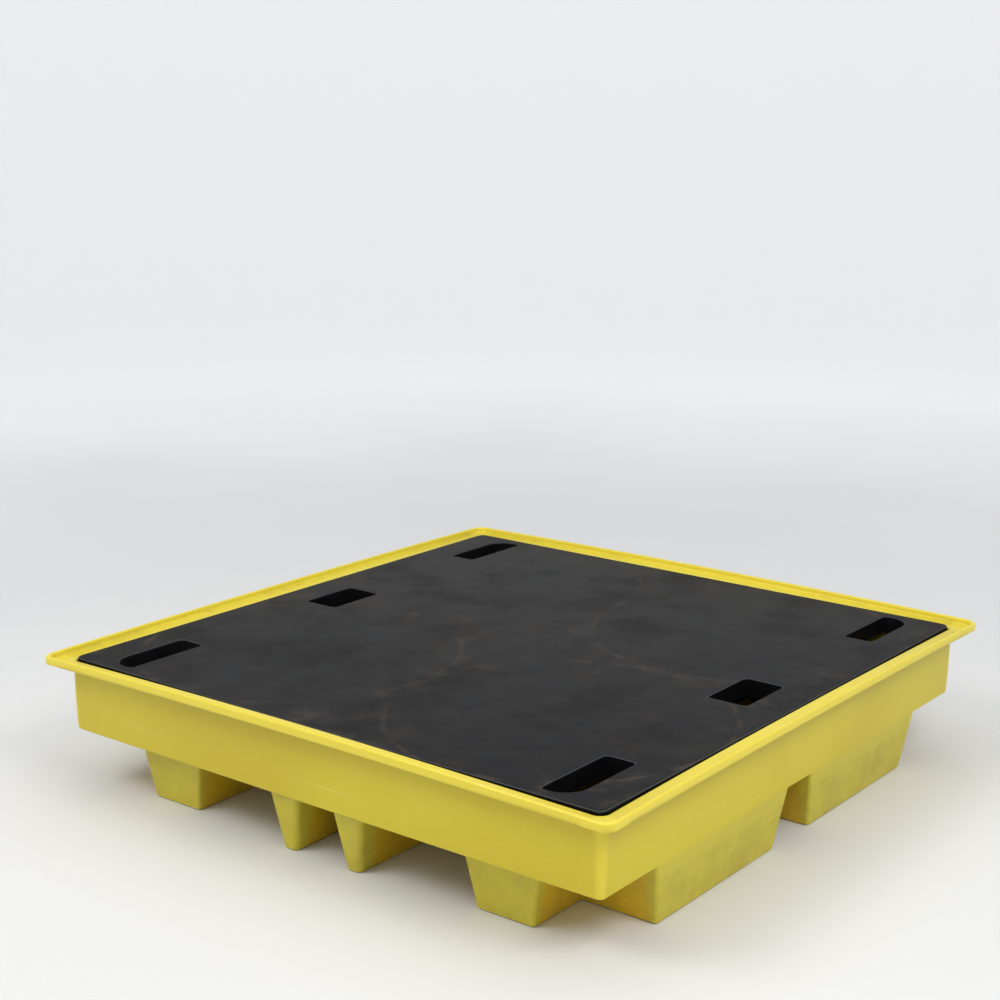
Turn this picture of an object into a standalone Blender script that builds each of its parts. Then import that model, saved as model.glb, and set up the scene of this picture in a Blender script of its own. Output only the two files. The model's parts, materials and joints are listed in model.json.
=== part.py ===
"""Four-drum spill containment pallet: sump tray, lift-out deck and the columns under it.

Metres, +Z up. The origin is on the floor, under the centre of the pallet.
The two fork channels run along Y. The pallet is symmetric about X = 0 and Y = 0.
"""

import math

import bmesh
import bpy
from mathutils import Matrix, Vector

# Sump tray: rim, walls and floor
RIM_HALF = 0.619  # centre to the outside of the upstanding lip
RIM_CORNER = 0.022  # plan radius of the rim's corners
LIP_TOP = 0.248
LIP_WIDTH = 0.007
FLANGE_BOTTOM = 0.231
FLANGE_THICK = 0.005
WALL_TOP_HALF = 0.5845
WALL_FOOT_HALF = 0.579
WALL_CORNER = 0.018
WALL = 0.005
FLOOR_BOTTOM = 0.105  # height of the fork channels
FLOOR_EDGE = 0.004  # rounding where the wall turns under
FLANGE_FILLET = 0.002  # where the wall turns out into the flange
FLANGE_EDGE = 0.0015

# Feet: distances at floor level, growing by their draft up to FLOOR_BOTTOM
CHANNEL_NEAR = 0.086  # fork channel, side towards the centre
CHANNEL_FAR = 0.312  # fork channel, side towards the wall
LEG_SIDE = 0.564  # outer face of a leg, under the wall
LEG_FRONT = 0.533  # end face of a leg, beside the fork entry
NOTCH_X = 0.424  # square corner notch of a leg
NOTCH_Y = 0.411
GAP_HALF = 0.060  # cross gap between the front and the back feet
RIB_NEAR = 0.056  # narrow skid beside the centre line
RIB_FRONT = 0.553
SIDE_DRAFT = 0.0185  # faces that look along X
END_DRAFT = 0.022  # faces that look along Y
OUTER_DRAFT = 0.0145  # faces under the walls
FOOT_CORNER = 0.009
FOOT_EDGE = 0.003
FOOT_OVERLAP = 0.0045  # how far a foot's solid runs up into the tray's floor, less than WALL
WALL_MARGIN = 0.0004

# Deck
DECK_HALF = 0.5775
DECK_CORNER = 0.013
DECK_TOP = 0.240
DECK_DEPTH = 0.034
DECK_SKIN = 0.007
DECK_EDGE = 0.003
DECK_WALL = 0.005
RIB_PITCH = 0.240
CORNER_SLOT_X = (0.450, 0.508)
CORNER_SLOT_Y = (0.387, 0.556)
CORNER_SLOT_ROUND = 0.042  # the slot's corner nearest the deck's corner
SIDE_SLOT_X = (0.430, 0.507)
SIDE_SLOT_HALF = 0.064
SLOT_ROUND = 0.010

# Columns that carry the deck
COLUMN_RADIUS = 0.040
COLUMN_WALL = 0.005
COLUMN_SIDES = 24
SHORT_COLUMN_PLACES = ((0.18, 0.06), (0.18, 0.42))  # stand on the roof of a fork channel
TALL_COLUMN_PLACES = ((0.42, 0.18),)  # stand in the hollow of a leg
GAP = 0.0003  # between touching pieces
SEAT_GAP = 0.0005  # from the deck's lowest edge up to its sockets and slot walls
OVERLAP = 0.002  # how far a joined shape runs into the skin
CUT_PAST = 0.01  # how far a cutter runs past the face it cuts

ROUND_MIDDLE = 1 - math.cos(math.radians(45))  # middle point of a quarter round, as a share of its radius

DECK_BOTTOM = DECK_TOP - DECK_DEPTH
SKIN_BOTTOM = DECK_TOP - DECK_SKIN
FLOOR_TOP = FLOOR_BOTTOM + WALL
LEDGE_TOP = FLANGE_BOTTOM + FLANGE_THICK
QUADRANTS = ((1, 1), (-1, 1), (-1, -1), (1, -1))

YELLOW = (0.80, 0.58, 0.035, 1.0)
BLACK = (0.016, 0.016, 0.018, 1.0)
GREY_BLACK = (0.028, 0.028, 0.030, 1.0)


def clear_scene():
    for obj in list(bpy.data.objects):
        bpy.data.objects.remove(obj, do_unlink=True)


def plastic(name, colour, roughness):
    material = bpy.data.materials.new(name)
    material.use_nodes = True
    shader = material.node_tree.nodes["Principled BSDF"]
    shader.inputs["Base Color"].default_value = colour
    shader.inputs["Roughness"].default_value = roughness
    shader.inputs["Metallic"].default_value = 0.0
    return material


def object_from(bm, name, material=None):
    """Turn a bmesh into a named object, smooth on its round parts."""
    mesh = bpy.data.meshes.new(name)
    bm.to_mesh(mesh)
    bm.free()
    mesh.shade_smooth()
    mesh.set_sharp_from_angle(angle=math.radians(35))
    if material:
        mesh.materials.append(material)
    obj = bpy.data.objects.new(name, mesh)
    bpy.context.scene.collection.objects.link(obj)
    return obj


def rounded_outline(low_x, high_x, low_y, high_y, radii, segments=4):
    """Counter-clockwise rectangle, each corner an arc of its own radius, from (+x, -y) round."""
    corners = ((high_x, low_y, -90), (high_x, high_y, 0), (low_x, high_y, 90), (low_x, low_y, 180))
    points = []
    for (x, y, start), radius in zip(corners, radii):
        centre_x = x - math.copysign(radius, x - (low_x + high_x) / 2)
        centre_y = y - math.copysign(radius, y - (low_y + high_y) / 2)
        for step in range(segments + 1):
            angle = math.radians(start + 90 * step / segments)
            point_x = centre_x + radius * math.cos(angle)
            point_y = centre_y + radius * math.sin(angle)
            points.append((point_x, point_y))
    return points


def rounded_square(half, radius):
    return rounded_outline(-half, half, -half, half, (radius,) * 4)


def loft(bm, sections):
    """Carry one outline face through (outline, height) sections, leaving walls behind it."""
    outline, height = sections[0]
    first = [bm.verts.new((x, y, height)) for x, y in outline]
    face = bm.faces.new(first)
    bottom = bmesh.ops.duplicate(bm, geom=[face])
    bottom_face = [item for item in bottom["geom"] if isinstance(item, bmesh.types.BMFace)][0]
    bmesh.ops.reverse_faces(bm, faces=[bottom_face])
    for outline, height in sections[1:]:
        moved = bmesh.ops.extrude_discrete_faces(bm, faces=[face])
        face = moved["faces"][0]
        for vertex, (x, y) in zip(face.verts, outline):
            vertex.co = (x, y, height)
    bmesh.ops.remove_doubles(bm, verts=bm.verts[:], dist=0.000001)


def boolean(target, operation, tool):
    """Join to, or cut from, the target with a guide object that the model leaves out."""
    tool.hide_render = True
    tool.display_type = "WIRE"
    modifier = target.modifiers.new(tool.name, "BOOLEAN")
    modifier.operation = operation
    modifier.solver = "EXACT"
    modifier.object = tool


def mirrored(bm, sign_x, sign_y):
    """Move a shape made in the +X +Y quadrant into another one."""
    bmesh.ops.scale(bm, vec=Vector((sign_x, sign_y, 1)), verts=bm.verts[:])
    if sign_x * sign_y < 0:
        bmesh.ops.reverse_faces(bm, faces=bm.faces[:])


def in_quadrants(make, quadrants=QUADRANTS):
    """One bmesh with a copy of a shape in each quadrant."""
    whole = bmesh.new()
    for sign_x, sign_y in quadrants:
        bm = bmesh.new()
        make(bm)
        mirrored(bm, sign_x, sign_y)
        mesh = bpy.data.meshes.new("copy")
        bm.to_mesh(mesh)
        bm.free()
        whole.from_mesh(mesh)
        bpy.data.meshes.remove(mesh)
    return whole


# Sump tray

def tray_sections():
    """Outline and height of each turn of the tray's skin: up the outside, over the lip, down inside."""
    lip_inner = RIM_HALF - LIP_WIDTH
    inner_top = WALL_TOP_HALF - WALL
    inner_foot = WALL_FOOT_HALF - WALL
    edge = FLOOR_EDGE
    crown = LIP_WIDTH / 2
    fillet = FLANGE_FILLET
    cut = ROUND_MIDDLE
    return [
        (rounded_square(WALL_FOOT_HALF - edge, WALL_CORNER - edge), FLOOR_BOTTOM),
        (rounded_square(WALL_FOOT_HALF - edge * cut, WALL_CORNER - edge * cut), FLOOR_BOTTOM + edge * cut),
        (rounded_square(WALL_FOOT_HALF, WALL_CORNER), FLOOR_BOTTOM + edge),
        (rounded_square(WALL_TOP_HALF, WALL_CORNER), FLANGE_BOTTOM - fillet),
        (rounded_square(WALL_TOP_HALF + fillet, WALL_CORNER), FLANGE_BOTTOM),
        (rounded_square(RIM_HALF - FLANGE_EDGE, RIM_CORNER - FLANGE_EDGE), FLANGE_BOTTOM),
        (rounded_square(RIM_HALF, RIM_CORNER), FLANGE_BOTTOM + FLANGE_EDGE),
        (rounded_square(RIM_HALF, RIM_CORNER), LIP_TOP - crown),
        (rounded_square(RIM_HALF - crown * cut, RIM_CORNER - crown * cut), LIP_TOP - crown * cut),
        (rounded_square(RIM_HALF - crown, RIM_CORNER - crown), LIP_TOP),
        (rounded_square(lip_inner + crown * cut, RIM_CORNER - LIP_WIDTH), LIP_TOP - crown * cut),
        (rounded_square(lip_inner, RIM_CORNER - LIP_WIDTH), LIP_TOP - crown),
        (rounded_square(lip_inner, RIM_CORNER - LIP_WIDTH), LEDGE_TOP + FLANGE_EDGE),
        (rounded_square(lip_inner - FLANGE_EDGE, RIM_CORNER - LIP_WIDTH), LEDGE_TOP),
        (rounded_square(inner_top + fillet, WALL_CORNER - WALL), LEDGE_TOP),
        (rounded_square(inner_top, WALL_CORNER - WALL), LEDGE_TOP - fillet),
        (rounded_square(inner_foot, WALL_CORNER - WALL), FLOOR_TOP + edge),
        (rounded_square(inner_foot - edge * cut, WALL_CORNER - WALL - edge * cut), FLOOR_TOP + edge * cut),
        (rounded_square(inner_foot - edge, WALL_CORNER - WALL - edge), FLOOR_TOP),
    ]


def grow(height):
    """Share of the draft that is reached at a height above the floor."""
    return min(height, FLOOR_BOTTOM) / FLOOR_BOTTOM


def leg_outline(height, inset):
    """L-shaped plan of the +X +Y leg at a height; inset shrinks it by a wall thickness."""
    side = SIDE_DRAFT * grow(height) - inset
    end = END_DRAFT * grow(height) - inset
    outer = OUTER_DRAFT * grow(height) - inset
    low_x = CHANNEL_FAR - side
    low_y = GAP_HALF - end
    return [
        (low_x, low_y),
        (LEG_SIDE + outer, low_y),
        (LEG_SIDE + outer, NOTCH_Y + end),
        (NOTCH_X + side, NOTCH_Y + end),
        (NOTCH_X + side, LEG_FRONT + outer),
        (low_x, LEG_FRONT + outer),
    ]


def skid_outline(height, inset):
    """Narrow rectangular plan of the +X +Y skid at a height."""
    side = SIDE_DRAFT * grow(height) - inset
    end = END_DRAFT * grow(height) - inset
    outer = OUTER_DRAFT * grow(height) - inset
    return [
        (RIB_NEAR - side, GAP_HALF - end),
        (CHANNEL_NEAR + side, GAP_HALF - end),
        (CHANNEL_NEAR + side, RIB_FRONT + outer),
        (RIB_NEAR - side, RIB_FRONT + outer),
    ]


def drafted_block(bm, outline, bottom, top, inset, corner):
    """A block with drafted sides, its upright edges rounded and its lower edge eased."""
    heights = (bottom, FLOOR_BOTTOM, top)
    # Above the tray's floor level the block draws in a little, to stay inside the wall
    sections = []
    for height in heights:
        margin = WALL_MARGIN if height > FLOOR_BOTTOM else 0.0
        sections.append((outline(height, inset + margin), height))
    loft(bm, sections)
    upright = []
    for edge in bm.edges:
        start, end = edge.verts
        if abs(start.co.z - end.co.z) > 0.005:
            upright.append(edge)
    bmesh.ops.bevel(bm, geom=upright, affect="EDGES", offset=corner, segments=3, profile=0.5)
    under = [edge for edge in bm.edges if all(abs(v.co.z - bottom) < 0.00001 for v in edge.verts)]
    bmesh.ops.bevel(bm, geom=under, affect="EDGES", offset=FOOT_EDGE, segments=2, profile=0.5)


def outer_leg(bm):
    drafted_block(bm, leg_outline, 0.0, FLOOR_BOTTOM + FOOT_OVERLAP, 0.0, FOOT_CORNER)


def outer_skid(bm):
    drafted_block(bm, skid_outline, 0.0, FLOOR_BOTTOM + FOOT_OVERLAP, 0.0, FOOT_CORNER)


def leg_hollow(bm):
    drafted_block(bm, leg_outline, WALL, FLOOR_TOP + FOOT_OVERLAP, WALL, FOOT_CORNER - WALL)


def skid_hollow(bm):
    drafted_block(bm, skid_outline, WALL, FLOOR_TOP + FOOT_OVERLAP, WALL, FOOT_CORNER - WALL)


def make_tray(material):
    bm = bmesh.new()
    loft(bm, tray_sections())
    tray = object_from(bm, "sump_tray", material)
    boolean(tray, "UNION", object_from(in_quadrants(outer_leg), "guide_legs"))
    boolean(tray, "UNION", object_from(in_quadrants(outer_skid), "guide_skids"))
    boolean(tray, "DIFFERENCE", object_from(in_quadrants(leg_hollow), "guide_leg_hollows"))
    boolean(tray, "DIFFERENCE", object_from(in_quadrants(skid_hollow), "guide_skid_hollows"))
    return tray


# Deck

def prism(bm, outline, bottom, top):
    loft(bm, [(outline, bottom), (outline, top)])


def corner_slot_outline(margin):
    """Long slot beside each corner of the deck, most rounded towards that corner."""
    low_x, high_x = CORNER_SLOT_X
    low_y, high_y = CORNER_SLOT_Y
    radii = [SLOT_ROUND + margin, CORNER_SLOT_ROUND + margin, SLOT_ROUND + margin, SLOT_ROUND + margin]
    return rounded_outline(low_x - margin, high_x + margin, low_y - margin, high_y + margin, radii)


def side_slot_outline(margin):
    low_x, high_x = SIDE_SLOT_X
    half = SIDE_SLOT_HALF + margin
    radii = (SLOT_ROUND + margin,) * 4
    return rounded_outline(low_x - margin, high_x + margin, -half, half, radii)


def slots(margin, bottom, top):
    """The four corner slots and the two side slots, as blocks."""
    whole = in_quadrants(lambda bm: prism(bm, corner_slot_outline(margin), bottom, top))
    sides = in_quadrants(lambda bm: prism(bm, side_slot_outline(margin), bottom, top), ((1, 1), (-1, -1)))
    mesh = bpy.data.meshes.new("sides")
    sides.to_mesh(mesh)
    sides.free()
    whole.from_mesh(mesh)
    bpy.data.meshes.remove(mesh)
    return whole


def rib_pockets():
    """Square hollows under the deck; what stays between them is the grid of ribs."""
    bm = bmesh.new()
    inner = DECK_HALF - DECK_WALL
    count = math.ceil(inner / RIB_PITCH)
    spans = []
    for index in range(-count, count):
        low = max(index * RIB_PITCH + DECK_WALL / 2, -inner)
        high = min((index + 1) * RIB_PITCH - DECK_WALL / 2, inner)
        spans.append((low, high))
    depth = SKIN_BOTTOM - (DECK_BOTTOM - CUT_PAST)
    for low_x, high_x in spans:
        for low_y, high_y in spans:
            centre = Vector(((low_x + high_x) / 2, (low_y + high_y) / 2, SKIN_BOTTOM - depth / 2))
            size = Matrix.Diagonal((high_x - low_x, high_y - low_y, depth, 1))
            bmesh.ops.create_cube(bm, size=1.0, matrix=Matrix.Translation(centre) @ size)
    return bm


def column_places():
    """Where the columns stand: (x, y, height of what they stand on)."""
    places = []
    for quadrant_x, quadrant_y in QUADRANTS:
        for x, y in SHORT_COLUMN_PLACES:
            places.append((quadrant_x * x, quadrant_y * y, FLOOR_TOP))
    for quadrant_x, quadrant_y in QUADRANTS:
        for x, y in TALL_COLUMN_PLACES:
            places.append((quadrant_x * x, quadrant_y * y, WALL))
    return places


def round_blocks(radius, bottom, top):
    """A round block at every column, for the sockets and for their bores."""
    bm = bmesh.new()
    for x, y, _ in column_places():
        place = Matrix.Translation((x, y, (bottom + top) / 2))
        bmesh.ops.create_cone(
            bm,
            cap_ends=True,
            segments=COLUMN_SIDES,
            radius1=radius,
            radius2=radius,
            depth=top - bottom,
            matrix=place,
        )
    return bm


def make_deck(material, parent):
    cut = ROUND_MIDDLE * DECK_EDGE
    bm = bmesh.new()
    loft(bm, [
        (rounded_square(DECK_HALF, DECK_CORNER), DECK_BOTTOM),
        (rounded_square(DECK_HALF, DECK_CORNER), DECK_TOP - DECK_EDGE),
        (rounded_square(DECK_HALF - cut, DECK_CORNER - cut), DECK_TOP - cut),
        (rounded_square(DECK_HALF - DECK_EDGE, DECK_CORNER - DECK_EDGE), DECK_TOP),
    ])
    deck = object_from(bm, "deck", material)
    deck.parent = parent
    seat = DECK_BOTTOM + SEAT_GAP
    into_skin = SKIN_BOTTOM + OVERLAP
    socket_radius = COLUMN_RADIUS + GAP + DECK_WALL
    boolean(deck, "DIFFERENCE", object_from(rib_pockets(), "guide_pockets"))
    boolean(deck, "UNION", object_from(round_blocks(socket_radius, seat, into_skin), "guide_sockets"))
    boolean(deck, "UNION", object_from(slots(DECK_WALL, seat, into_skin), "guide_slot_walls"))
    bores = round_blocks(COLUMN_RADIUS + GAP, DECK_BOTTOM - CUT_PAST, SKIN_BOTTOM)
    boolean(deck, "DIFFERENCE", object_from(bores, "guide_bores"))
    through = slots(0.0, DECK_BOTTOM - CUT_PAST, DECK_TOP + CUT_PAST)
    boolean(deck, "DIFFERENCE", object_from(through, "guide_slots"))
    return deck


# Columns

def column_mesh(name, length, material):
    """A plain tube, standing on the origin, open at both ends."""
    bm = bmesh.new()
    profile = [
        bm.verts.new((COLUMN_RADIUS, 0, length)),
        bm.verts.new((COLUMN_RADIUS, 0, 0)),
        bm.verts.new((COLUMN_RADIUS - COLUMN_WALL, 0, 0)),
        bm.verts.new((COLUMN_RADIUS - COLUMN_WALL, 0, length)),
    ]
    edges = []
    for index, vertex in enumerate(profile):
        edges.append(bm.edges.new((vertex, profile[(index + 1) % len(profile)])))
    bmesh.ops.spin(
        bm,
        geom=profile + edges,
        cent=(0, 0, 0),
        axis=(0, 0, 1),
        angle=math.tau,
        steps=COLUMN_SIDES,
        use_merge=True,
    )
    bmesh.ops.recalc_face_normals(bm, faces=bm.faces[:])
    mesh = bpy.data.meshes.new(name)
    bm.to_mesh(mesh)
    bm.free()
    mesh.shade_smooth()
    mesh.set_sharp_from_angle(angle=math.radians(35))
    mesh.materials.append(material)
    return mesh


def make_columns(material, parent):
    top = SKIN_BOTTOM - GAP
    meshes = {
        FLOOR_TOP: column_mesh("short_column", top - FLOOR_TOP - GAP, material),
        WALL: column_mesh("tall_column", top - WALL - GAP, material),
    }
    numbers = {FLOOR_TOP: 0, WALL: 0}
    for x, y, stands_on in column_places():
        numbers[stands_on] += 1
        mesh = meshes[stands_on]
        column = bpy.data.objects.new(f"{mesh.name}_{numbers[stands_on]}", mesh)
        bpy.context.scene.collection.objects.link(column)
        column.parent = parent
        column.location = (x, y, stands_on + GAP)


def main():
    clear_scene()
    make_tray(plastic("tray_yellow", YELLOW, 0.42))
    lift = bpy.data.objects.new("deck_lift", None)
    bpy.context.scene.collection.objects.link(lift)
    make_deck(plastic("deck_black", BLACK, 0.48), lift)
    make_columns(plastic("column_black", GREY_BLACK, 0.5), lift)


main()
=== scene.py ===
import json
import math

import bmesh
import bpy
from mathutils import Matrix, Vector, noise


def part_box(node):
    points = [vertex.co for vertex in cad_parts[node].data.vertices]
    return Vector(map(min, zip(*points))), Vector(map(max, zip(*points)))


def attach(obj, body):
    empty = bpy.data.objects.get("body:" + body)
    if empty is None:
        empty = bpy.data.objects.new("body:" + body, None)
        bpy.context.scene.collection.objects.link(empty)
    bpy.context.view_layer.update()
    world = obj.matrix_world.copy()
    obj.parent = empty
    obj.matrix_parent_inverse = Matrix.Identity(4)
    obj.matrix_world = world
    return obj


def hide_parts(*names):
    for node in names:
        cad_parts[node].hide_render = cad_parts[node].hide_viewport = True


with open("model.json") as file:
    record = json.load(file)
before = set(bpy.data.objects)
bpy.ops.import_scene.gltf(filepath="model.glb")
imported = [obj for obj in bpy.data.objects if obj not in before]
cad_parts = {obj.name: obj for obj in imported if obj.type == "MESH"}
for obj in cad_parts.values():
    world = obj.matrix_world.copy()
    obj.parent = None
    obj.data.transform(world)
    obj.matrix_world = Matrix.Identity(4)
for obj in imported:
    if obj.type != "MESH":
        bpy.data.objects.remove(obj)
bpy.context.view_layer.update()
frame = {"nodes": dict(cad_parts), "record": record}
print("frame loaded:", len(frame["nodes"]), "nodes")

quadrants = ((1, 1), (-1, 1), (-1, -1), (1, -1))
sharpAngle = math.radians(32)  # edges that turn by more than this stay crisp


def clamp(value):
    return min(max(value, 0.0), 1.0)


def between(low, high, share):
    return low + (high - low) * share


def smoothMesh(mesh):
    mesh.shade_smooth()
    mesh.set_sharp_from_angle(angle=sharpAngle)


# makes an object of a mesh, at the origin, smooth but for its sharp edges
def finishPiece(bm, name, material):
    mesh = bpy.data.meshes.new(name)
    bm.to_mesh(mesh)
    bm.free()
    smoothMesh(mesh)
    if material:
        mesh.materials.append(material)
    piece = bpy.data.objects.new(name, mesh)
    bpy.context.scene.collection.objects.link(piece)
    return piece


def roundCorners(bm, chosen, radius, steps):
    bmesh.ops.bevel(
        bm, geom=chosen, affect="VERTICES", offset=radius, segments=steps, profile=0.5, material=-1
    )


def roundEdges(bm, chosen, radius, steps):
    bmesh.ops.bevel(
        bm, geom=chosen, affect="EDGES", offset=radius, segments=steps, profile=0.5, material=-1
    )


# leaves a copy of the face looking down, the underside of what grows from the face
def closeBelow(bm, face):
    copied = bmesh.ops.duplicate(bm, geom=[face])
    under = [item for item in copied["geom"] if isinstance(item, bmesh.types.BMFace)]
    bmesh.ops.reverse_faces(bm, faces=under)


def growFace(bm, face):
    return bmesh.ops.extrude_discrete_faces(bm, faces=[face])["faces"][0]


def weld(bm, gap=0.00001):
    bmesh.ops.remove_doubles(bm, verts=bm.verts[:], dist=gap)


# a flat rounded square, the first turn of a moulded skin, and the face that grows from it
def startSkin(half, radius, height, arcSteps, sideCuts):
    bm = bmesh.new()
    bmesh.ops.create_grid(bm, x_segments=1, y_segments=1, size=half)
    roundCorners(bm, bm.verts[:], radius, arcSteps)
    longEdges = [edge for edge in bm.edges if edge.calc_length() > radius * 2]
    bmesh.ops.subdivide_edges(bm, edges=longEdges, cuts=sideCuts)
    bmesh.ops.translate(bm, vec=(0, 0, height), verts=bm.verts[:])
    top = bm.faces[:][0]
    closeBelow(bm, top)
    return bm, top


# where a point of one rounded square lands on another; both are (half, corner radius)
def ontoOutline(value, before, after):
    centre, newCentre = before[0] - before[1], after[0] - after[1]
    size = abs(value)
    if size <= centre:
        return math.copysign(size * newCentre / centre, value)
    return math.copysign(newCentre + (size - centre) * after[1] / before[1], value)


# carries the top face of a skin from turn to turn and leaves the walls behind it
def closeSkin(bm, turns, face, outline, radiusAt):
    for half, height in turns:
        after = (half, radiusAt(half, height))
        face = growFace(bm, face)
        for vertex in face.verts:
            x, y = (ontoOutline(value, outline, after) for value in vertex.co.xy)
            vertex.co = (x, y, height)
        outline = after
    weld(bm)
    return bm


# points (half, height) of a round edge from one turn to the next, about a centre
def roundEdge(centreHalf, centreHeight, radius, startAngle, endAngle, steps=4):
    turns = []
    for step in range(steps + 1):
        angle = math.radians(between(startAngle, endAngle, step / steps))
        turns.append((centreHalf + radius * math.cos(angle), centreHeight + radius * math.sin(angle)))
    return turns


def addMesh(bm, other):
    spare = bpy.data.meshes.new("spare")
    other.to_mesh(spare)
    other.free()
    bm.from_mesh(spare)
    bpy.data.meshes.remove(spare)


# the same shape in each quadrant, mirrored
def inQuadrants(makeShape, places=quadrants):
    whole = bmesh.new()
    for signX, signY in places:
        bm = makeShape()
        bmesh.ops.scale(bm, vec=(signX, signY, 1), verts=bm.verts[:])
        if signX * signY < 0:
            bmesh.ops.reverse_faces(bm, faces=bm.faces[:])
        addMesh(whole, bm)
    return whole


# joins or cuts with a throwaway tool, and keeps the result as the piece's own mesh
def carve(piece, operation, toolShape):
    tool = finishPiece(toolShape, "tool", None)
    modifier = piece.modifiers.new("carve", "BOOLEAN")
    modifier.operation = operation
    modifier.solver = "EXACT"
    modifier.object = tool
    bpy.context.view_layer.update()
    evaluated = piece.evaluated_get(bpy.context.evaluated_depsgraph_get())
    carved = bpy.data.meshes.new_from_object(evaluated)
    piece.modifiers.remove(modifier)
    before = piece.data
    piece.data = carved
    bpy.data.meshes.remove(before)
    bpy.data.objects.remove(tool)


# smooth over the round edges, with the big flat faces kept flat
def smoothAgain(piece):
    smoothMesh(piece.data)
    modifier = piece.modifiers.new("evenNormals", "WEIGHTED_NORMAL")
    modifier.keep_sharp = True


# a socket that does sums: each operator adds a Math node
class Wire:
    def __init__(self, graph, socket):
        self.graph = graph
        self.socket = socket

    def maths(self, operation, first, second):
        return self.graph.node("Math", {"operation": operation}, {0: first, 1: second})

    def __add__(self, other):
        return self.maths("ADD", self, other)

    def __radd__(self, other):
        return self.maths("ADD", other, self)

    def __sub__(self, other):
        return self.maths("SUBTRACT", self, other)

    def __rsub__(self, other):
        return self.maths("SUBTRACT", other, self)

    def __mul__(self, other):
        return self.maths("MULTIPLY", self, other)

    def __rmul__(self, other):
        return self.maths("MULTIPLY", other, self)

    def __pow__(self, other):
        return self.maths("POWER", self, other)

    def __abs__(self):
        return self.maths("ABSOLUTE", self, 0.0)


# a material's nodes; x, y and z are the place on the piece
class Graph:
    def __init__(self, name):
        self.material = bpy.data.materials.new(name)
        self.material.use_nodes = True
        self.tree = self.material.node_tree
        self.shader = self.tree.nodes["Principled BSDF"]
        self.place = self.node("TexCoord", {}, {}, "Object")
        parts = self.node("SeparateXYZ", {}, {"Vector": self.place}).socket.node
        self.x, self.y, self.z = (Wire(self, output) for output in parts.outputs)

    def node(self, kind, settings, inputs, output=0):
        made = self.tree.nodes.new("ShaderNode" + kind)
        for key, value in settings.items():
            setattr(made, key, value)
        for key, value in inputs.items():
            self.feed(made.inputs[key], value)
        return Wire(self, made.outputs[output])

    def feed(self, socket, value):
        if isinstance(value, Wire):
            self.tree.links.new(value.socket, socket)
        else:
            socket.default_value = value

    def stretched(self, scale, turn=(0, 0, 0)):
        return self.node("Mapping", {}, {"Vector": self.place, "Scale": scale, "Rotation": turn})

    def cloud(self, scale, detail, roughness=0.5, where=None):
        inputs = {"Vector": where or self.place, "Scale": scale, "Detail": detail, "Roughness": roughness}
        return self.node("TexNoise", {}, inputs)

    # 0 below low, 1 above high, smooth between; low may be the higher one
    def band(self, value, low, high):
        inputs = {"Value": value, "From Min": low, "From Max": high}
        return self.node("MapRange", {"interpolation_type": "SMOOTHSTEP"}, inputs)

    def mix(self, factor, first, second):
        return self.node("Mix", {"data_type": "RGBA"}, {0: factor, 6: first, 7: second}, 2)

    def larger(self, first, second):
        return self.node("Math", {"operation": "MAXIMUM"}, {0: first, 1: second})

    def smaller(self, first, second):
        return self.node("Math", {"operation": "MINIMUM"}, {0: first, 1: second})

    def bump(self, height, distance, strength, under=None):
        inputs = {"Height": height, "Distance": distance, "Strength": strength}
        if under:
            inputs["Normal"] = under
        return self.node("Bump", {}, inputs)

    def surface(self, values):
        for key, value in values.items():
            self.feed(self.shader.inputs[key], value)
        return self.material


# the yellow tub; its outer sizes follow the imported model
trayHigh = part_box("sump_tray")[1]
forkRoof = [mount for mount in frame["record"]["mounts"] if mount["name"] == "fork_roof_right"][0]
tray = {
    "rimHalf": trayHigh[0],
    "lipTop": trayHigh[2],
    "floorBottom": forkRoof["pos_m"][2],
    "wall": 0.005,
    "lipWidth": 0.007,
    "flangeBottom": 0.231,
    "wallTopHalf": 0.5845,
    "wallFootHalf": 0.579,
    "footCorner": 0.009,  # the wall's upright corners, at its foot
    "rimCorner": 0.022,  # and at the rim
    "leastCorner": 0.003,
    "baseRound": 0.004,  # from the tub's underside into the wall
    "rootRound": 0.003,  # from the wall into the flange
    "flangeRound": 0.0025,
    "gutterRound": 0.003,  # from the lip into the ledge
    "brinkRound": 0.004,  # from the ledge down into the sump
    "sumpRound": 0.006,  # from the wall into the sump's floor
    "footEdge": 0.0035,
    "arcSteps": 8,
    "sideCuts": 23,
    "channelNear": 0.086,  # the feet's sides, from the middle lines, at the floor
    "channelFar": 0.312,
    "legSide": 0.564,
    "legFront": 0.533,
    "notchX": 0.424,
    "notchY": 0.411,
    "gapHalf": 0.060,
    "skidNear": 0.056,
    "skidFront": 0.553,
    "sideDraft": 0.0185,  # how much further out the sides are at the tub's underside
    "endDraft": 0.022,
    "outerDraft": 0.0145,
    "legCorner": 0.006,
    "legHollowCorner": 0.0035,
    "skidCorner": 0.010,
    "tuck": 0.0004,  # a foot's outline is a hair smaller inside the floor, so no sides coincide
    "sink": 0.0045,  # how far a foot reaches into the floor, less than the floor's thickness
    "wave": 0.0006,  # how far the cooled moulding wanders from true
    "waveScale": 3.1,
    "rippleScale": 2.3,
    "waveRise": 0.050,  # height over which the unevenness comes in
    "pull": 0.0012,  # how far the rim draws in, in the middle of each side
    "endBow": (0.0040, 0.0030),  # how far flange and lip rise in the middle, over the fork entries
    "sideBow": (0.0030, 0.0008),  # and on the other two sides
    "sag": (-0.0015, -0.0035),  # how far both droop at the corners
}


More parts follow.
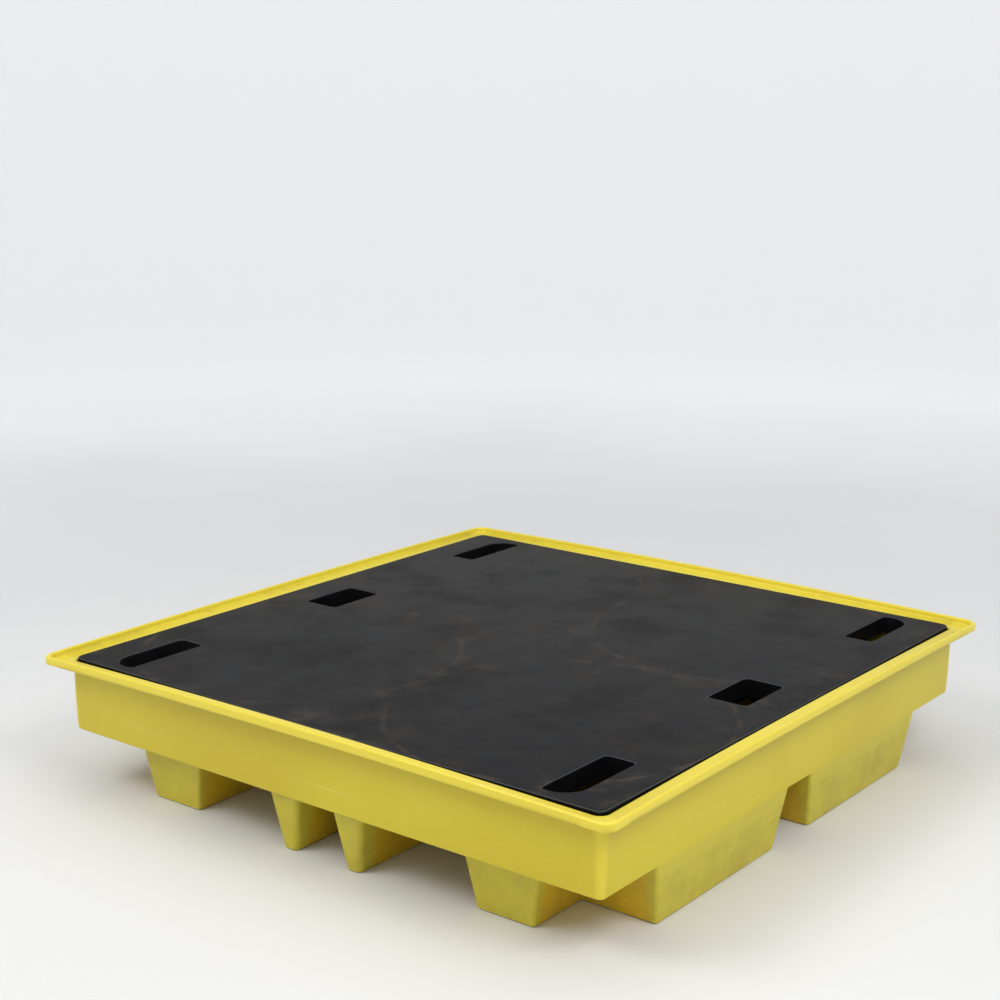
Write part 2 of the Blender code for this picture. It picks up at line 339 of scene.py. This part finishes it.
def legPlan(share, inset):
    side = tray["sideDraft"] * share - inset
    end = tray["endDraft"] * share - inset
    outer = tray["outerDraft"] * share - inset
    low = (tray["channelFar"] - side, tray["gapHalf"] - end)
    notch = (tray["notchX"] + side, tray["notchY"] + end)
    high = (tray["legSide"] + outer, tray["legFront"] + outer)
    return [low, (high[0], low[1]), (high[0], notch[1]), notch, (notch[0], high[1]), (low[0], high[1])]


def skidPlan(share, inset):
    side = tray["sideDraft"] * share - inset
    end = tray["endDraft"] * share - inset
    outer = tray["outerDraft"] * share - inset
    low = (tray["skidNear"] - side, tray["gapHalf"] - end)
    high = (tray["channelNear"] + side, tray["skidFront"] + outer)
    return [low, (high[0], low[1]), high, (low[0], high[1])]


# a foot, or the hollow in it: drafted sides, round upright edges, eased lower edge
def footShape(plan, bottom, top, inset, corner):
    bm = bmesh.new()
    roof = tray["floorBottom"]
    first = [bm.verts.new((x, y, bottom)) for x, y in plan(bottom / roof, inset)]
    face = bm.faces.new(first)
    closeBelow(bm, face)
    for height, margin in ((roof, 0.0), (top, tray["tuck"])):
        face = growFace(bm, face)
        for vertex, (x, y) in zip(face.verts, plan(1.0, inset + margin)):
            vertex.co = (x, y, height)
    weld(bm)
    rising, level = 0.003, 0.0001  # the least that an upright edge rises, the most that a level one does
    upright = [edge for edge in bm.edges if abs(edge.verts[0].co.z - edge.verts[1].co.z) > rising]
    roundEdges(bm, upright, corner, 6)
    lowest = [edge for edge in bm.edges if max(vertex.co.z for vertex in edge.verts) < bottom + level]
    roundEdges(bm, lowest, tray["footEdge"], 4)
    return bm


# the corners of the tub open out with height; the inner face follows the outer one
def trayCorner(half, height):
    share = clamp((height - tray["floorBottom"]) / (tray["flangeBottom"] - tray["floorBottom"]))
    radius = between(tray["footCorner"], tray["rimCorner"], share ** 2)
    wallHalf = between(tray["wallFootHalf"], tray["wallTopHalf"], share)
    if half > wallHalf - tray["wall"] / 2:
        return radius
    return max(radius - tray["wall"], tray["leastCorner"])


# the tub without its feet: up the outside, over the lip and down the inside
def traySkin():
    wall, foot, top = tray["wall"], tray["wallFootHalf"], tray["wallTopHalf"]
    rim, lip = tray["rimHalf"], tray["lipTop"]
    base, flange = tray["floorBottom"], tray["flangeBottom"]
    ledge, sump = flange + wall, base + wall
    lipInner, innerTop, innerFoot = rim - tray["lipWidth"], top - wall, foot - wall
    edge = tray["baseRound"]
    outline = (foot - edge, tray["footCorner"] - edge / 2)
    bm, face = startSkin(*outline, base, tray["arcSteps"], tray["sideCuts"])
    turns = roundEdge(foot - edge, base + edge, edge, -67.5, 0, 3)
    turns += [(between(foot, top, share), between(base, flange, share)) for share in (0.25, 0.5, 0.75)]
    edge = tray["rootRound"]
    turns += roundEdge(top + edge, flange - edge, edge, 180, 90, 3)
    edge = tray["flangeRound"]
    turns += roundEdge(rim - edge, flange + edge, edge, -90, 0, 4)
    edge = tray["lipWidth"] / 2
    turns += roundEdge(rim - edge, lip - edge, edge, 0, 180, 10)
    edge = tray["gutterRound"]
    turns += roundEdge(lipInner - edge, ledge + edge, edge, 0, -90, 4)
    edge = tray["brinkRound"]
    turns += roundEdge(innerTop + edge, ledge - edge, edge, 90, 180, 4)
    for share, rise in ((0.6, 0.075), (0.3, 0.038)):
        turns.append((between(innerFoot, innerTop, share), sump + rise))
    edge = tray["sumpRound"]
    turns += roundEdge(innerFoot - edge, sump + edge, edge, 0, -90, 4)
    return closeSkin(bm, turns, face, outline, trayCorner)


# the slow unevenness of a big moulding: walls that wander a little, and a rim that bows
def unevenTray(piece):
    wallFoot = tray["floorBottom"] + tray["sumpRound"]
    innermost = tray["wallFootHalf"] - 2 * tray["sumpRound"]
    flangeLow = tray["flangeBottom"] - tray["brinkRound"]
    scale, ripples = tray["waveScale"], tray["rippleScale"]
    for vertex in piece.data.vertices:
        place = vertex.co
        rise = clamp((place.z - wallFoot) / tray["waveRise"])
        reach = max(abs(place.x), abs(place.y))
        if rise == 0.0 or reach < innermost:
            continue
        onSide = abs(place.x) > abs(place.y)
        along = place.y if onSide else place.x
        span = max(1 - (along / tray["rimHalf"]) ** 2, 0.0)
        wander = noise.noise(Vector((place.x * scale, place.y * scale, place.z * 2.0)))
        outward = Vector((place.x, place.y, 0)).normalized()
        height = (place.z - wallFoot) / (tray["lipTop"] - wallFoot)
        place += outward * (wander * tray["wave"] * rise - tray["pull"] * span * height)
        if place.z > flangeLow:
            share = clamp((place.z - tray["flangeBottom"]) / (tray["lipTop"] - tray["flangeBottom"]))
            low, high = (
                bow * span + sag * (1 - span)
                for bow, sag in zip(tray["sideBow"] if onSide else tray["endBow"], tray["sag"])
            )
            ripple = noise.noise(Vector((place.x * ripples, place.y * ripples, 7.0))) * tray["wave"]
            place.z += between(low, high, share) + ripple


def makeTray(material):
    piece = finishPiece(traySkin(), "sumpTrayShell", material)
    wall, top = tray["wall"], tray["floorBottom"] + tray["sink"]
    feet = ((legPlan, tray["legCorner"]), (skidPlan, tray["skidCorner"]))
    hollows = ((legPlan, tray["legHollowCorner"]), (skidPlan, tray["skidCorner"] - wall))
    for plan, corner in feet:
        carve(piece, "UNION", inQuadrants(lambda: footShape(plan, 0.0, top, 0.0, corner)))
    deep = tray["floorBottom"] + wall + tray["sink"]
    for plan, corner in hollows:
        carve(piece, "DIFFERENCE", inQuadrants(lambda: footShape(plan, wall, deep, wall, corner)))
    unevenTray(piece)
    smoothAgain(piece)
    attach(piece, "sump")
    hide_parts("sump_tray")


# the black deck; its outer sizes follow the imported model
deckLow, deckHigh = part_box("deck")
deckForm = {
    "half": deckHigh[0] - 0.0008,  # a hair smaller, to clear the uneven tub
    "top": deckHigh[2],
    "bottom": deckLow[2],
    "skin": 0.007,
    "wall": 0.005,
    "corner": 0.013,
    "foot": 0.001,  # the chamfer round its lower edge
    "edge": 0.003,
    "arcSteps": 8,
    "ribPitch": 0.240,
    "cornerSlotX": (0.450, 0.508),
    "cornerSlotY": (0.387, 0.556),
    "cornerSlotRound": 0.042,
    "sideSlotX": (0.430, 0.507),
    "sideSlotHalf": 0.064,
    "slotRound": 0.010,
    "slotEdge": 0.003,
    "pocketRound": 0.006,
    "columnRadius": 0.040,
    "columnGap": 0.0003,
    "seatGap": 0.0005,  # collars and sockets end this far above the lower edge
    "into": 0.002,  # how far they reach into the skin
    "past": 0.010,  # how far a cutter runs past the moulding
}


def flatFace(lowX, highX, lowY, highY, height):
    bm = bmesh.new()
    bmesh.ops.create_grid(bm, x_segments=1, y_segments=1, size=0.5)
    bmesh.ops.scale(bm, vec=(highX - lowX, highY - lowY, 1), verts=bm.verts[:])
    centre = ((lowX + highX) / 2, (lowY + highY) / 2, height)
    bmesh.ops.translate(bm, vec=centre, verts=bm.verts[:])
    return bm


# a block on a rounded outline; each turn is (growth of the outline, height)
def slotBlock(lowX, highX, lowY, highY, turns, bigRound=0.0):
    bm = flatFace(lowX, highX, lowY, highY, turns[0][1])
    middle = Vector(((lowX + highX) / 2, (lowY + highY) / 2, 0))
    if bigRound:
        outer = [vertex for vertex in bm.verts if vertex.co.x > middle.x and vertex.co.y > middle.y]
        rest = [vertex for vertex in bm.verts if vertex not in outer]
        roundCorners(bm, outer, bigRound, 10)
        roundCorners(bm, [vertex for vertex in rest if vertex.is_valid], deckForm["slotRound"], 6)
    else:
        roundCorners(bm, bm.verts[:], deckForm["slotRound"], 6)
    face = bm.faces[:][0]
    closeBelow(bm, face)
    width, depth = highX - lowX, highY - lowY
    grown = turns[0][0]
    if grown:
        factor = ((width + 2 * grown) / width, (depth + 2 * grown) / depth, 1)
        bmesh.ops.scale(bm, vec=factor, verts=bm.verts[:], space=Matrix.Translation(-middle))
    for growth, height in turns[1:]:
        face = growFace(bm, face)
        factor = ((width + 2 * growth) / (width + 2 * grown), (depth + 2 * growth) / (depth + 2 * grown), 1)
        bmesh.ops.scale(bm, vec=factor, verts=face.verts[:], space=Matrix.Translation(-middle))
        bmesh.ops.translate(bm, vec=(0, 0, height - face.verts[0].co.z), verts=face.verts[:])
        grown = growth
    weld(bm)
    return bm


# a block for every slot: one near each corner and one in the middle of two sides
def slotBlocks(turns):
    lowX, highX = deckForm["cornerSlotX"]
    lowY, highY = deckForm["cornerSlotY"]
    whole = inQuadrants(lambda: slotBlock(lowX, highX, lowY, highY, turns, deckForm["cornerSlotRound"]))
    sideX, half = deckForm["sideSlotX"], deckForm["sideSlotHalf"]
    addMesh(whole, inQuadrants(lambda: slotBlock(*sideX, -half, half, turns), ((1, 1), (-1, -1))))
    return whole


# name, centre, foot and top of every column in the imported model
def columnCentres():
    centres = []
    for name in sorted(frame["nodes"]):
        if "column" in name:
            low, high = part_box(name)
            centres.append((name, (low + high) / 2, low[2], high[2]))
    return centres


def roundBlocks(radius, bottom, top):
    bm = bmesh.new()
    for _, centre, _, _ in columnCentres():
        place = Matrix.Translation((centre[0], centre[1], (bottom + top) / 2))
        bmesh.ops.create_cone(
            bm, cap_ends=True, segments=64, radius1=radius, radius2=radius, depth=top - bottom, matrix=place
        )
    return bm


# what is cut away between the ribs
def pocketBlocks():
    bm = bmesh.new()
    inner = deckForm["half"] - deckForm["wall"]
    pitch = deckForm["ribPitch"]
    count = math.ceil(inner / pitch)
    spans = []
    for index in range(-count, count):
        low = max(index * pitch + deckForm["wall"] / 2, -inner)
        high = min((index + 1) * pitch - deckForm["wall"] / 2, inner)
        spans.append((low, high))
    roof = deckForm["top"] - deckForm["skin"]
    below = deckForm["bottom"] - deckForm["past"]
    for lowX, highX in spans:
        for lowY, highY in spans:
            block = flatFace(lowX, highX, lowY, highY, below)
            roundCorners(block, block.verts[:], deckForm["pocketRound"], 4)
            face = block.faces[:][0]
            closeBelow(block, face)
            face = growFace(block, face)
            bmesh.ops.translate(block, vec=(0, 0, roof - below), verts=face.verts[:])
            weld(block)
            addMesh(bm, block)
    return bm


def deckPlate():
    edge, foot = deckForm["edge"], deckForm["foot"]
    half, top, bottom = deckForm["half"], deckForm["top"], deckForm["bottom"]
    outline = (half - foot, deckForm["corner"])
    bm, face = startSkin(*outline, bottom, deckForm["arcSteps"], 0)
    turns = [(half, bottom + foot)] + roundEdge(half - edge, top - edge, edge, 0, 90, 6)
    return closeSkin(bm, turns, face, outline, lambda *turn: deckForm["corner"])


def makeDeck(material):
    piece = finishPiece(deckPlate(), "deckMoulding", material)
    top, bottom = deckForm["top"], deckForm["bottom"]
    roof = top - deckForm["skin"]
    seat, intoSkin = bottom + deckForm["seatGap"], roof + deckForm["into"]
    below, above = bottom - deckForm["past"], top + deckForm["past"]
    wall, edge = deckForm["wall"], deckForm["slotEdge"]
    bore = deckForm["columnRadius"] + deckForm["columnGap"]
    carve(piece, "DIFFERENCE", pocketBlocks())
    carve(piece, "UNION", roundBlocks(bore + wall, seat, intoSkin))
    carve(piece, "UNION", slotBlocks([(wall, seat), (wall, intoSkin)]))
    carve(piece, "DIFFERENCE", roundBlocks(bore, below, roof))
    flare = [(0.0, below), (0.0, top - edge)]
    for step in range(1, 7):
        angle = math.radians(15 * step)
        flare.append((edge * (1 - math.cos(angle)), top - edge + edge * math.sin(angle)))
    flare.append((edge, above))
    carve(piece, "DIFFERENCE", slotBlocks(flare))
    smoothAgain(piece)
    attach(piece, "deck")
    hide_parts("deck")


columnForm = {
    "wall": 0.005,
    "ease": 0.0008,  # the broken edges of the sawn ends
    "steps": 72,
    "dark": (0.018, 0.018, 0.020, 1),
    "pale": (0.034, 0.034, 0.036, 1),
    "smudge": (0.090, 0.075, 0.060, 1),
    "roughness": 0.42,
}


def makeColumns(material):
    ease, outer = columnForm["ease"], deckForm["columnRadius"]
    inner = outer - columnForm["wall"]
    for name, centre, low, high in columnCentres():
        bm = bmesh.new()
        turns = [
            (outer, low + ease), (outer - ease, low), (inner + ease, low), (inner, low + ease),
            (inner, high - ease), (inner + ease, high), (outer - ease, high), (outer, high - ease),
        ]
        ring = [bm.verts.new((radius, 0, height)) for radius, height in turns]
        edges = [bm.edges.new((ring[index - 1], ring[index])) for index in range(len(ring))]
        bmesh.ops.spin(
            bm, geom=ring + edges, cent=(0, 0, 0), axis=(0, 0, 1), angle=math.tau,
            steps=columnForm["steps"], use_merge=True,
        )
        bmesh.ops.recalc_face_normals(bm, faces=bm.faces[:])
        bmesh.ops.translate(bm, vec=(centre[0], centre[1], 0), verts=bm.verts[:])
        words = name.split("_")
        piece = finishPiece(bm, words[0] + "Column" + words[-1], material)
        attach(piece, "deck")
        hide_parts(name)


yellow = {
    "body": (0.615, 0.502, 0.009, 1),
    # a deeper tone at random, also used for the painted shade under the rim
    "deep": (0.510, 0.395, 0.005, 1),
    "chalky": (0.640, 0.550, 0.028, 1),
    # painted highlight colour, for the rim and the tub's upright corners
    "rim": (0.800, 0.665, 0.050, 1),
    # painted shade colour, between the feet
    "shaded": (0.640, 0.420, 0.003, 1),
    # painted shade colour, for the feet and the underside
    "foot": (0.560, 0.480, 0.030, 1),
    "scuff": (0.840, 0.730, 0.230, 1),
    "grime": (0.260, 0.200, 0.050, 1),
    "roughness": 0.36,
    "patchScale": 3.2,
    "deepScale": 1.7,
    "dirtScale": 14.0,
    "dragGrain": (2.2, 2.2, 190.0),  # long along the walls, fine up and down
    "nickGrain": (60.0, 60.0, 300.0),
    "nickTurn": (0.4, 0.7, 0.3),
    "glowDepth": (0.012, 0.008, 0.002),  # how far light soaks in, by colour
    "dragWear": 0.35,
    "nickWear": 0.55,
    "footDirt": 0.05,
    "ledgeDirt": 0.30,
    "sumpDirt": 0.30,
}


def yellowPlastic():
    g = Graph("trayYellowPlastic")
    patches = g.band(g.cloud(yellow["patchScale"], 3.0, 0.55), 0.42, 0.68)
    colour = g.mix(patches * 0.55, yellow["body"], yellow["chalky"])
    depth = g.band(g.cloud(yellow["deepScale"], 2.0), 0.62, 0.38)
    colour = g.mix(depth * 0.45, colour, yellow["deep"])
    # painted highlight: the rim paler; painted shade: the colour deepest in a band just under the rim
    flange, base, foot = tray["flangeBottom"], tray["floorBottom"], tray["wallFootHalf"]
    underRimShade = g.band(g.z, flange - 0.040, flange)
    colour = g.mix(underRimShade * 0.6, colour, yellow["deep"])
    rim = g.band(g.z, flange - 0.001, flange + 0.009)
    colour = g.mix(rim * 0.85, colour, yellow["rim"])
    # painted highlight along the tub's upright corners
    corners = g.band(g.smaller(abs(g.x), abs(g.y)), foot - 0.016, foot - 0.003)
    colour = g.mix(corners * 0.6, colour, yellow["rim"])
    # painted shade: the feet and all below the tub's underside a little darker, and warmer and deeper
    # between the feet
    reach = g.larger(abs(g.x), abs(g.y))
    inside = g.band(abs(g.y), tray["legFront"] - 0.004, tray["legFront"] - 0.016)
    inside = inside * g.band(abs(g.x), tray["legSide"] - 0.004, tray["legSide"] - 0.016)
    beneath = g.band(g.z, base + 0.003, base - 0.002)
    colour = g.mix(beneath * 0.7, colour, yellow["foot"])
    colour = g.mix(inside * beneath, colour, yellow["shaded"])
    # drag marks, long along the walls
    drags = g.cloud(1.0, 4.0, 0.6, g.stretched(yellow["dragGrain"]))
    dragAreas = g.band(g.cloud(5.5, 2.0), 0.52, 0.66)
    dragMask = g.band(drags, 0.60, 0.72) * dragAreas
    # short nicks on the feet and on the lip
    nicks = g.cloud(1.0, 3.0, 0.7, g.stretched(yellow["nickGrain"], yellow["nickTurn"]))
    low = g.band(g.z, 0.05, 0.0)
    lipTop = g.band(g.z, tray["lipTop"] - 0.006, tray["lipTop"] - 0.001)
    nickMask = g.band(nicks, 0.60, 0.68) * (0.25 + 0.75 * g.larger(low, lipTop))
    scuffs = g.smaller(dragMask * yellow["dragWear"] + nickMask * yellow["nickWear"], 1.0)
    colour = g.mix(scuffs, colour, yellow["scuff"])
    # grime where the feet meet the floor, and in the ledge's angle
    dirt = g.cloud(yellow["dirtScale"], 5.0, 0.7)
    footDirt = g.band(g.z, 0.028, 0.001) * g.band(dirt, 0.40, 0.66)
    ledge, rimHalf = flange + tray["wall"], tray["rimHalf"]
    inLip = g.band(reach, tray["wallTopHalf"], rimHalf - tray["lipWidth"] - 0.001)
    onLedge = g.band(g.z, ledge + 0.007, ledge + 0.001) * inLip * g.band(reach, rimHalf, rimHalf - 0.006)
    sumpFloor = g.band(g.z, base + 0.03, base + 0.004)
    inSump = g.band(reach, foot - 0.003, foot - 0.005)
    sumpDirt = sumpFloor * inSump * g.band(dirt, 0.35, 0.7)
    ledgeDirt = onLedge * g.band(dirt, 0.45, 0.7)
    dirty = footDirt * yellow["footDirt"] + ledgeDirt * yellow["ledgeDirt"] + sumpDirt * yellow["sumpDirt"]
    grime = g.smaller(dirty, 1.0)
    colour = g.mix(grime, colour, yellow["grime"])
    rough = yellow["roughness"] + patches * 0.07 + scuffs * 0.16 + grime * 0.3
    waves = g.bump(g.cloud(7.0, 1.0), 0.006, 0.6)
    ripples = g.bump(g.cloud(30.0, 2.0, 0.6), 0.0008, 0.5, waves)
    peel = g.bump(g.cloud(240.0, 2.0, 0.6), 0.00025, 0.5, ripples)
    marks = g.bump(scuffs, 0.0002, 0.6, peel)
    return g.surface({
        "Base Color": colour,
        "Roughness": rough,
        "Normal": marks,
        "IOR": 1.51,
        "Subsurface Weight": 0.08,
        "Subsurface Radius": yellow["glowDepth"],
        "Subsurface Scale": 0.6,
    })


black = {
    "body": (0.0046, 0.0046, 0.0056, 1),
    "worn": (0.013, 0.0127, 0.0135, 1),
    "dust": (0.135, 0.106, 0.076, 1),
    # painted highlight colour for the round top edges
    "edge": (0.070, 0.074, 0.084, 1),
    "roughness": 0.40,
    "drumPlace": 0.2935,  # where drums stand, from the middle lines
    "drumRing": 0.2905,
    "gloss": 0.08,
    "scratchGrain": ((7.0, 320.0, 7.0), (320.0, 7.0, 7.0)),  # thin one way, long the other
    "scratchTurn": ((0, 0, 0.5), (0, 0, 0.25)),
    "looseDust": 0.34,
    "ringDust": 0.24,
    "scratchDust": 0.16,
    "edgeWear": 0.75,
}


def blackPlastic():
    g = Graph("deckBlackPlastic")
    patches = g.band(g.cloud(6.0, 5.0, 0.62), 0.44, 0.66)
    colour = g.mix(patches * 0.5, black["body"], black["worn"])
    # rings that the rims of drums have rubbed
    acrossX = abs(g.x) - black["drumPlace"]
    acrossY = abs(g.y) - black["drumPlace"]
    fromDrum = (acrossX * acrossX + acrossY * acrossY) ** 0.5
    wobble = (g.cloud(2.6, 2.0) - 0.5) * 0.016
    ring = g.band(abs(fromDrum + wobble - black["drumRing"]), 0.0075, 0.0015)
    broken = g.band(g.cloud(22.0, 4.0, 0.7), 0.42, 0.62)
    rings = ring * broken
    # fine scratches, two ways
    first, second = (
        g.cloud(1.0, 3.0, 0.6, g.stretched(grain, turn))
        for grain, turn in zip(black["scratchGrain"], black["scratchTurn"])
    )
    scratches = g.larger(g.band(first, 0.655, 0.71), g.band(second, 0.665, 0.72))
    scratches = scratches * g.band(g.cloud(4.0, 2.0), 0.45, 0.62)
    # dust, thickest in the gaps between the drums
    loose = g.band(g.cloud(16.0, 6.0, 0.72), 0.46, 0.74)
    gaps = 0.35 + 0.65 * g.band(fromDrum, 0.22, 0.33)
    dusty = loose * gaps * black["looseDust"] + rings * black["ringDust"] + scratches * black["scratchDust"]
    dust = g.smaller(dusty, 1.0)
    top = deckForm["top"]
    upward = g.band(g.z, top - 0.004, top - 0.0005)
    colour = g.mix(dust * upward, colour, black["dust"])
    # painted highlight: the round top edges a paler bluish grey
    edgeHigh = g.band(g.z, top - deckForm["edge"], top - 0.0014)
    edgeLow = g.band(g.z, top - 0.0001, top - 0.0007)
    colour = g.mix(edgeHigh * edgeLow * black["edgeWear"], colour, black["edge"])
    rough = black["roughness"] + patches * 0.10 + dust * upward * 0.38
    waves = g.bump(g.cloud(9.0, 2.0), 0.0022, 0.45)
    grain = g.bump(g.cloud(330.0, 2.0, 0.65), 0.0002, 0.55, waves)
    marks = g.bump(scratches + rings * 0.6, -0.00015, 0.5, grain)
    return g.surface({
        "Base Color": colour,
        "Roughness": rough,
        "Normal": marks,
        "IOR": 1.45,
        "Specular IOR Level": black["gloss"],
    })


def columnPlastic():
    g = Graph("columnBlackPlastic")
    drawn = g.cloud(1.0, 3.0, 0.6, g.stretched((130.0, 130.0, 3.0)))
    smudges = g.band(g.cloud(9.0, 4.0, 0.6), 0.45, 0.7)
    colour = g.mix(g.band(drawn, 0.3, 0.7), columnForm["dark"], columnForm["pale"])
    colour = g.mix(smudges * 0.3, colour, columnForm["smudge"])
    rough = columnForm["roughness"] + smudges * 0.2
    lines = g.bump(drawn, 0.0003, 0.5)
    return g.surface({"Base Color": colour, "Roughness": rough, "Normal": lines, "IOR": 1.50})


studio = {
    "floorRadius": 9.0,
    "wallHeight": 4.2,
    "sweep": 2.6,
    "floor": (0.750, 0.753, 0.760, 1),
    "backdrop": (0.900, 0.902, 0.905, 1),
    # painted light: the backdrop's own glow, though it is no lamp
    "glow": (0.250, 0.247, 0.244, 1),
    "roughness": 0.85,
    "paleFrom": 1.8,  # distances over which the floor turns into the backdrop
    "paleTo": 6.0,
    "glowTo": 5.2,
    "drop": 0.0004,  # below the feet, so that the two never share a plane
    "sweepSteps": 12,
    "rings": 96,
    "sky": (0.92, 0.96, 1.0, 1),
    "skyStrength": 0.38,
    "lights": {  # place, what it aims at, size, watts, colour
        "overheadSoftbox": ((0.0, 0.6, 4.6), (0, 0, 0), (6.0, 6.0), 92, (1.0, 0.99, 0.97)),
        "leftSoftbox": ((-1.0, -2.4, 2.8), (0, 0, 0.15), (1.8, 1.2), 44, (1.0, 0.98, 0.95)),
        "rightSoftbox": ((2.6, -0.8, 2.8), (0, 0, 0.15), (1.8, 1.2), 48, (1.0, 0.98, 0.95)),
    },
}


# a round pale floor that sweeps up into a wall all round
def makeStudio():
    bm = bmesh.new()
    radius, sweep = studio["floorRadius"], studio["sweep"]
    profile = [bm.verts.new((0, 0, 0)), bm.verts.new((radius - sweep, 0, 0))]
    for step in range(studio["sweepSteps"]):
        angle = math.radians(90 * (step + 1) / studio["sweepSteps"])
        profile.append(
            bm.verts.new((radius - sweep + sweep * math.sin(angle), 0, sweep - sweep * math.cos(angle)))
        )
    profile.append(bm.verts.new((radius, 0, studio["wallHeight"])))
    edges = [bm.edges.new((profile[index], profile[index + 1])) for index in range(len(profile) - 1)]
    bmesh.ops.spin(
        bm, geom=profile + edges, cent=(0, 0, 0), axis=(0, 0, 1), angle=math.tau,
        steps=studio["rings"], use_merge=True,
    )
    weld(bm, 0.0001)
    bmesh.ops.translate(bm, vec=(0, 0, -studio["drop"]), verts=bm.verts[:])
    bmesh.ops.recalc_face_normals(bm, faces=bm.faces[:])
    bmesh.ops.reverse_faces(bm, faces=bm.faces[:])
    g = Graph("studioFloor")
    # the floor turns paler further out and the backdrop glows more with distance: painted light that keeps
    # the far backdrop white
    away = (g.x * g.x + g.y * g.y) ** 0.5 + g.cloud(0.9, 2.0) * 0.8
    colour = g.mix(g.band(away, studio["paleFrom"], studio["paleTo"]), studio["floor"], studio["backdrop"])
    glow = g.mix(g.band(away, studio["paleFrom"], studio["glowTo"]), (0, 0, 0, 1), studio["glow"])
    material = g.surface({
        "Base Color": colour,
        "Roughness": studio["roughness"],
        "Emission Color": glow,
        "Emission Strength": 1.0,
    })
    finishPiece(bm, "studioFloor", material)


def softLight(name, place, aim, size, power, colour):
    lamp = bpy.data.lights.new(name, "AREA")
    lamp.shape = "RECTANGLE"
    lamp.size, lamp.size_y = size
    lamp.energy = power
    lamp.color = colour
    holder = bpy.data.objects.new(name, lamp)
    holder.location = place
    holder.rotation_euler = (Vector(aim) - Vector(place)).to_track_quat("-Z", "Y").to_euler()
    bpy.context.scene.collection.objects.link(holder)


def makeLights():
    world = bpy.data.worlds.new("studioWorld")
    world.use_nodes = True
    sky = world.node_tree.nodes["Background"]
    sky.inputs["Color"].default_value = studio["sky"]
    sky.inputs["Strength"].default_value = studio["skyStrength"]
    bpy.context.scene.world = world
    for name, settings in studio["lights"].items():
        softLight(name, *settings)


cameraSet = {
    "place": (1.9276, -2.5098, 1.2313),
    "heading": -0.6378,  # radians from +Y towards +X
    "tilt": 0.2087,  # down from level
    "roll": -0.0082,
    "sensor": 36.0,
    "lens": 64.15,
    "shift": (-0.0583, -0.0293),
    "clip": (0.05, 60.0),
}


def makeCamera():
    data = bpy.data.cameras.new("viewCamera")
    data.sensor_width = cameraSet["sensor"]
    data.lens = cameraSet["lens"]
    data.shift_x, data.shift_y = cameraSet["shift"]
    data.clip_start, data.clip_end = cameraSet["clip"]
    camera = bpy.data.objects.new("viewCamera", data)
    heading = Matrix.Rotation(-cameraSet["heading"], 4, "Z")
    tilt = Matrix.Rotation(math.pi / 2 - cameraSet["tilt"], 4, "X")
    roll = Matrix.Rotation(-cameraSet["roll"], 4, "Z")
    camera.matrix_world = Matrix.Translation(cameraSet["place"]) @ heading @ tilt @ roll
    bpy.context.scene.collection.objects.link(camera)
    bpy.context.scene.camera = camera
    bpy.context.scene.view_settings.view_transform = "Standard"


makeCamera()
makeLights()
makeStudio()
print("studio ready")
makeTray(yellowPlastic())
print("tray made")
makeDeck(blackPlastic())
print("deck made")
makeColumns(columnPlastic())
print("columns made")
